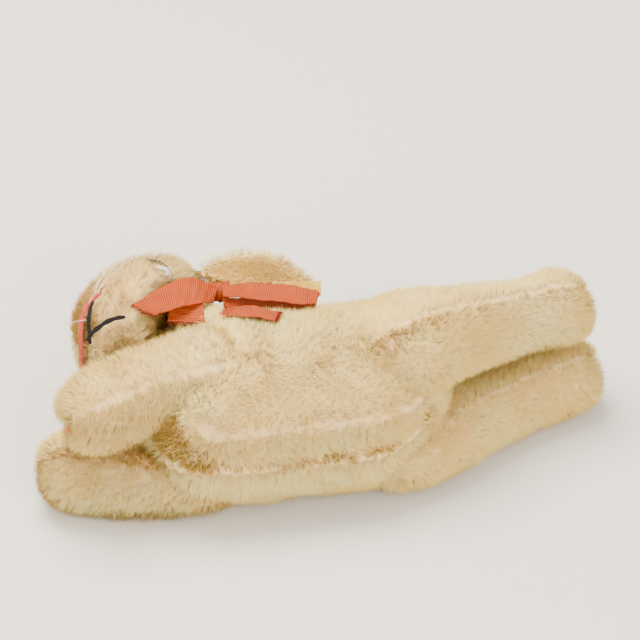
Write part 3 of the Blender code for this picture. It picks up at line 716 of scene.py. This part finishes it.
def bundle(keys, threads, wide, rng, steps=10):
    """Side by side threads along a path on the head: keys of x, angle and lift."""
    found = [on_head(*key) for key in keys]
    line = curve_through([place for place, _ in found], steps)
    ups = curve_through([normal for _, normal in found], steps)
    paths = []
    for k in range(threads):
        shift = (k / max(threads - 1, 1) - 0.5) * wide
        wave, phase = rng.uniform(0.04, 0.10), rng.uniform(0, 6)
        path = []
        for i, (place, up) in enumerate(zip(line, ups)):
            run = (line[min(i + 1, len(line) - 1)] - line[max(i - 1, 0)]).normalized()
            side = up.normalized().cross(run)
            pinch = 1 - 0.5 * abs(2 * i / (len(line) - 1) - 1) ** 3
            path.append(place + side * (shift * pinch + wave * math.sin(phase + i * 0.5)) * MM
                        + up.normalized() * wave * math.cos(phase + i * 0.4) * MM)
        paths.append(path)
    return paths


rng = np.random.default_rng(41)
NOSE = ((-66.0, 93, 2.4), (-68.0, 95, 2.5), (-69.8, 99, 2.6), (-71.0, 108, 2.7), (-71.5, 122, 2.7),
        (-71.6, 140, 2.6), (-71.8, 180, 2.4), (-71.6, 220, 2.6), (-71.5, 238, 2.7), (-71.0, 252, 2.7),
        (-69.8, 261, 2.6), (-68.0, 265, 2.5), (-66.0, 267, 2.4))
STEM = ((-68.2, 99, 2.8), (-69.0, 108, 2.9), (-69.4, 124, 2.9), (-69.2, 142, 2.8), (-69.2, 150, 2.6))
SMILE = ((-69.8, 146, 2.8), (-68.6, 137, 2.9), (-67.0, 132, 2.9), (-64.8, 128, 2.9), (-61.8, 127, 2.9),
         (-58.6, 128, 2.8))
MIRROR_SMILE = tuple((x, -angle, lift) for x, angle, lift in SMILE)
pieces = {
    "nose_stitches": (bundle(NOSE, 8, 1.6, rng), 0.26, PINK, "nose_embroidery", "pink_thread"),
    "mouth_stitches": (bundle(STEM, 7, 1.1, rng) + bundle(SMILE, 7, 1.1, rng)
                       + bundle(MIRROR_SMILE, 7, 1.1, rng),
                       0.2, BLACK, "mouth_embroidery", "black_thread"),
}
for side, sign in (("left", 1), ("right", -1)):
    lashes = []
    for k in range(4):
        x, angle = -53.4 + 1.15 * k, 78 + 0.8 * k
        lashes += bundle(((x, sign * angle, 3.4), (x + 0.9, sign * (angle + 3.5), 3.7),
                          (x + 2.0, sign * (angle + 6), 3.4)), 1, 0.22, rng, 6)
    pieces[f"eye_{side}_stitches"] = (lashes, 0.17, DARK_BLUE, f"eye_{side}", "black_thread")
    felt = []
    for k in range(7):
        x = -50.4 + 0.45 * k
        felt += bundle(((x - 0.5, sign * 86, 2.9), (x, sign * 87.2, 3.1), (x + 0.4, sign * 88.6, 2.9)),
                       2, 0.35, rng, 5)
    pieces[f"eye_{side}_felt"] = (felt, 0.28, FELT.data, f"eye_patch_{side}", "white_felt")
for name, (paths, radius, surface, node, slot) in pieces.items():
    item = tubes(name, paths, [radius] * len(paths), surface)
    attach(item, "head")
    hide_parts(node)

# ---------------------------------------------------------------- whiskers
NYLON = Surface("whisker_nylon", (0.82, 0.78, 0.66), 0.25)
NYLON.colour(NYLON.ramp(NYLON.cloud(NYLON.turned(), 6 * MM),
                        ((0.3, (0.72, 0.66, 0.50)), (0.7, (0.92, 0.90, 0.82)))))
WHISKERS = {
    "whisker_left_1": ((-67.5, 84), (-60, 55, 49), (-52, 57, 52), (-43, 58, 53)),
    "whisker_left_2": ((-68.6, 98), (-60, 46, 51), (-51, 49, 54), (-42.5, 50, 54.5)),
    "whisker_left_3": ((-70.6, 118), (-80, 33, 38), (-90, 32, 42), (-98, 36, 46)),
    "whisker_right_1": ((-67.5, -84), (-72, 54, 6.5), (-79, 58, 4.4), (-88, 61, 3.6)),
    "whisker_right_2": ((-68.6, -98), (-75, 45, 6.5), (-84, 48, 4.4), (-94, 49, 3.6)),
    "whisker_right_3": ((-70.6, -118), (-79, 34, 13), (-88, 33, 10), (-97, 36, 9)),
    "whisker_left_4": ((-67.0, 88), (-62.5, 53, 51), (-57.5, 57, 57), (-52.0, 62, 62.5)),
    "whisker_left_5": ((-66.0, 92), (-61.0, 51, 50), (-55.0, 55, 56), (-48.5, 59, 61.0)),
}
for name, (root, *free) in WHISKERS.items():
    keys = [on_head(*root, 0.3)[0], on_head(*root, 3.5)[0], *[at(*place) for place in free]]
    item = tubes(f"{name}_thread", [curve_through(keys, 12)], [lambda t: 0.11 - 0.05 * t], NYLON.data)
    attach(item, "head")
    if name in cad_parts:
        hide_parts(name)

# ---------------------------------------------------------------- ribbon
RIBBON_WIDTH = 10.6  # millimetres


def grosgrain(name, dark, middle, light):
    """Ribbon: raised ribs from edge to edge, with fine warp threads along it."""
    made = Surface(name, middle, 0.55)
    flat_place = made.turned(source="UV")
    ribs = made.waves(flat_place, 0.66 * MM, 0.25)
    warp = made.waves(flat_place, 0.22 * MM, 1.0, "Y")
    cloth = made.maths("ADD", made.maths("MULTIPLY", ribs, 0.6), made.maths("MULTIPLY", warp, 0.25))
    worn = made.maths("MULTIPLY", made.cloud(made.turned(), 5 * MM), 0.4)
    made.colour(made.ramp(made.maths("ADD", cloth, worn), ((0.15, dark), (0.55, middle), (1.0, light))))
    made.bump(cloth, 0.16 * MM, 0.8)
    return made.data


CORAL = grosgrain("grosgrain_ribbon", (0.16, 0.010, 0.001), (0.36, 0.042, 0.002), (0.50, 0.085, 0.008))


def ribbon(name, one, two, node, frayed=False, seed=0, cut=RIBBON_WIDTH):
    """A woven ribbon between two edges, each a row of layout places from its first end to its last."""
    rng = np.random.default_rng(seed)
    steps, columns = 14, 16
    left, right = (curve_through([at(*place) for place in edge], steps) for edge in (one, two))
    count, wide = len(left), columns + 1
    points, faces, flat_places, middles = [], [], [], []
    gone = area = 0.0
    for i, (a, b) in enumerate(zip(left, right)):
        middles.append((a + b) / 2)
        step = (middles[-1] - middles[-2]).length if i else 0.0
        gone += step
        area += step * (b - a).length
        ahead, behind = min(i + 1, count - 1), max(i - 1, 0)
        up = (left[ahead] + right[ahead] - left[behind] - right[behind]).cross(b - a).normalized()
        for j in range(wide):
            s = 2 * j / columns - 1
            wave = 0.20 * math.sin(i * 0.33 + s * 2.2 + seed) + 0.10 * math.sin(i * 0.9 - s * 3 + seed * 2)
            points.append(a.lerp(b, j / columns) + up * (wave + 0.45 * s * s) * MM)
            flat_places.append((gone, s * cut / 2 * MM))
    for i in range(count - 1):
        for j in range(columns):
            k = i * wide + j
            faces.append((k, k + 1, k + wide + 1, k + wide))
    item = cloth_strip(name, points, faces, flat_places, node)
    if frayed:
        way = (middles[-1] - middles[-2]).normalized()
        threads = []
        for _ in range(110):
            root = Vector(points[-wide + int(rng.integers(columns))])
            root = root.lerp(Vector(points[-1]), rng.random() * 0.06)
            bend = Vector(rng.normal(0, 0.35, 3))
            tip = root + (way + bend).normalized() * rng.uniform(0.4, 1.5) * MM
            threads.append([root - way * 0.5 * MM, root.lerp(tip, 0.5) + bend * 0.15 * MM, tip])
        fringe = tubes(f"{name}_frayed_edge", threads, [lambda t: 0.075 - 0.04 * t] * len(threads), CORAL, 5)
        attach(fringe, "torso")


def cloth_strip(name, points, faces, flat_places, node):
    mesh = bpy.data.meshes.new(name)
    mesh.from_pydata(points, [], faces)
    layer = mesh.uv_layers.new(name="weave")
    for loop in mesh.loops:
        layer.data[loop.index].uv = flat_places[loop.vertex_index]
    item = link(name, mesh, CORAL)
    solid = item.modifiers.new("thickness", "SOLIDIFY")
    solid.thickness, solid.offset = 0.32 * MM, 0.0
    applied(item).data.shade_smooth()
    item.data.materials.clear()
    item.data.materials.append(CORAL)
    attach(item, "torso")
    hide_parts(node)
    return item


KNOT = Vector((-31.5, 41.5, 43.5))


def knot_wrap():
    """The cross band of the bow, pleated round the place where its loops meet."""
    steps, columns = 40, 18
    points, faces, flat_places = [], [], []
    for i in range(steps + 1):
        turn = 2 * math.pi * i / steps
        for j in range(columns + 1):
            s = 2 * j / columns - 1
            pleat = 0.32 * math.sin(s * 8.5 + 0.7 * math.sin(turn)) + 0.15 * math.sin(s * 19 + turn)
            waist = 1 - 0.14 * math.cos(s * math.pi / 2)
            deep, tall = (3.7 + pleat) * waist, (3.0 + pleat) * waist
            lean = 0.5 * s
            points.append(at(*(KNOT + Vector((s * 3.5, deep * math.cos(turn) - lean,
                                              tall * math.sin(turn) + 0.8 * lean)))))
            flat_places.append((3.4 * MM * turn, s * 5.3 * MM))
    wide = columns + 1
    for i in range(steps):
        for j in range(columns):
            a = i * wide + j
            faces.append((a, a + 1, a + wide + 1, a + wide))
    item = cloth_strip("ribbon_knot_folds", points, faces, flat_places, "ribbon_knot")


knot_wrap()
ribbon("ribbon_left_loop",
       ((-31.5, 39.5, 46.5), (-37.5, 40.2, 49.4), (-43.4, 39.1, 50.0), (-50.5, 36.2, 47.6),
        (-57.7, 32.9, 44.8)),
       ((-32.5, 35.0, 44.5), (-37.0, 32.6, 45.8), (-42.5, 29.6, 46.6), (-47.4, 27.6, 46.2),
        (-50.2, 27.6, 45.0)),
       "ribbon_tail_cheek", True, 3)
ribbon("ribbon_hanging_end",
       ((-41.0, 39.5, 46.6), (-44.6, 36.0, 45.8), (-46.0, 31.6, 44.4), (-46.6, 28.0, 42.4)),
       ((-33.0, 39.0, 46.0), (-35.6, 36.4, 46.0), (-35.6, 31.4, 44.8), (-35.2, 26.6, 42.8)),
       "ribbon_tail_throat", True, 7)
ribbon("ribbon_upper_loop",
       ((-30.0, 36.4, 45.6), (-21, 34.4, 47.0), (-11, 33.2, 47.6), (-3.0, 32.6, 48.2), (-0.6, 33.2, 49.2),
        (-4.0, 34.4, 50.0), (-12, 36.0, 50.2), (-21, 37.6, 49.6), (-30.5, 39.4, 47.2)),
       ((-29.0, 32.6, 44.6), (-20, 27.4, 46.4), (-11, 24.2, 47.6), (-4.0, 24.6, 49.4), (-1.6, 26.0, 50.6),
        (-4.0, 25.4, 50.8), (-11, 26.2, 51.0), (-20, 28.6, 50.4), (-29.5, 34.6, 46.8)),
       "ribbon_loop_upper", False, 15)
ribbon("ribbon_lower_loop",
       ((-30.0, 35.0, 44.4), (-20, 31.8, 45.6), (-9.5, 30.2, 46.4), (-6.0, 30.4, 46.6), (-9.5, 30.8, 46.0),
        (-20, 35.6, 44.6), (-30.0, 38.0, 43.6)),
       ((-28.5, 31.6, 43.4), (-19, 24.0, 45.2), (-9.5, 21.4, 47.4), (-6.4, 21.8, 47.8), (-9.0, 22.2, 46.8),
        (-19, 24.6, 44.4), (-28.5, 32.6, 42.6)),
       "ribbon_loop_lower", False, 19)
ribbon("ribbon_right_end",
       ((-30.5, 31.6, 44.0), (-25.5, 28.6, 48.6), (-19.0, 25.4, 50.8), (-12.0, 22.0, 51.4)),
       ((-31.5, 24.0, 45.4), (-27.0, 20.4, 51.0), (-20.5, 16.8, 53.6), (-13.5, 13.6, 54.8)),
       "ribbon_tail_back", True, 11)


def neck_band():
    """The ribbon where it goes round the neck, under the bow."""
    steps, columns = 60, 6
    first, last = Vector((-35.0, 27.1, 26)), Vector((-38.8, 32.3, 26))
    side = Vector((0.804, 0.594, 0))
    points, faces, flat_places = [], [], []
    for i in range(steps + 1):
        turn = math.radians(72 + (418 - 72) * i / steps)
        for j in range(columns + 1):
            share = j / columns
            ripple = 0.15 * math.sin(i * 0.8 + j)
            deep, tall = 13.1 - 0.6 * share + ripple, 15.1 - 0.8 * share + ripple
            up = Vector((0, 0, math.sin(turn) * tall))
            place = first.lerp(last, share) + side * math.cos(turn) * deep + up
            points.append(at(*place))
            flat_places.append((14 * turn * MM, share * 6.4 * MM))
    wide = columns + 1
    for i in range(steps):
        for j in range(columns):
            k = i * wide + j
            faces.append((k, k + 1, k + wide + 1, k + wide))
    item = cloth_strip("ribbon_neck_wrap", points, faces, flat_places, "ribbon_neck_band")


neck_band()

# ---------------------------------------------------------------- ear tag and rivet
TAG_CLOTH = Surface("tag_cloth", (0.78, 0.47, 0.06), 0.85)
tag_weave = TAG_CLOTH.waves(TAG_CLOTH.turned(), 0.3 * MM, 0.6)
TAG_CLOTH.colour(TAG_CLOTH.ramp(
    TAG_CLOTH.maths("ADD", TAG_CLOTH.maths("MULTIPLY", tag_weave, 0.4),
                    TAG_CLOTH.cloud(TAG_CLOTH.turned(), 3 * MM)),
    ((0.3, (0.58, 0.31, 0.03)), (0.6, (0.80, 0.48, 0.06)), (1.0, (0.90, 0.60, 0.14)))))
TAG_CLOTH.bump(tag_weave, 0.12 * MM)
BRASS = Surface("rivet_brass", (0.72, 0.52, 0.22), 0.35)
BRASS.shader.inputs["Metallic"].default_value = 1.0
BRASS.colour(BRASS.ramp(BRASS.cloud(BRASS.turned(), 0.8 * MM),
                        ((0.3, (0.52, 0.36, 0.14)), (0.7, (0.80, 0.60, 0.28)))))
for node, surface in (("ear_tag", TAG_CLOTH), ("tag_rivet", BRASS)):
    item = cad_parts[node]
    for slot in item.material_slots:
        slot.material = surface.data

# ---------------------------------------------------------------- loose threads on the upper arm
ARM = skins["arm_left_skin"].data
ARM_TREE = BVHTree.FromPolygons([v.co[:] for v in ARM.vertices], [p.vertices[:] for p in ARM.polygons])
RUST = laid("paw_stitch_thread", (0.62, 0.22, 0.06), (0.80, 0.38, 0.14))
BEIGE = laid("loop_thread", (0.66, 0.40, 0.14), (0.80, 0.55, 0.25))


def arm_thread(name, near, turns, size, radius, surface, high):
    """A small loop of thread that comes out of the arm's seam."""
    place, normal = ARM_TREE.find_nearest(at(*near))[:2]
    side = normal.orthogonal().normalized()
    other = normal.cross(side)
    path = []
    for i in range(turns * 12 + 1):
        angle = 2 * math.pi * i / 12
        lift = high * (1 - math.cos(angle)) / 2
        path.append(place + (side * math.sin(angle) * size + other * (i / 12 - turns / 2) * size * 0.6
                             + normal * (2.4 + lift)) * MM)
    item = tubes(name, [path], [radius], surface)
    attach(item, "arm_left")


arm_thread("paw_stitch", (-72.5, -17, 38), 3, 1.1, 0.22, RUST, 0.8)
arm_thread("seam_thread_loop", (-66.0, 1, 48), 1, 1.3, 0.2, BEIGE, 3.4)


# ---------------------------------------------------------------- ending
floor = link("floor", bpy.data.meshes.new("floor"), Surface("floor_board", (0.80, 0.78, 0.74), 0.8).data)
floor.data.from_pydata([(-3, -3, 0), (3, -3, 0), (3, 3, 0), (-3, 3, 0)], [], [(0, 1, 2, 3)])
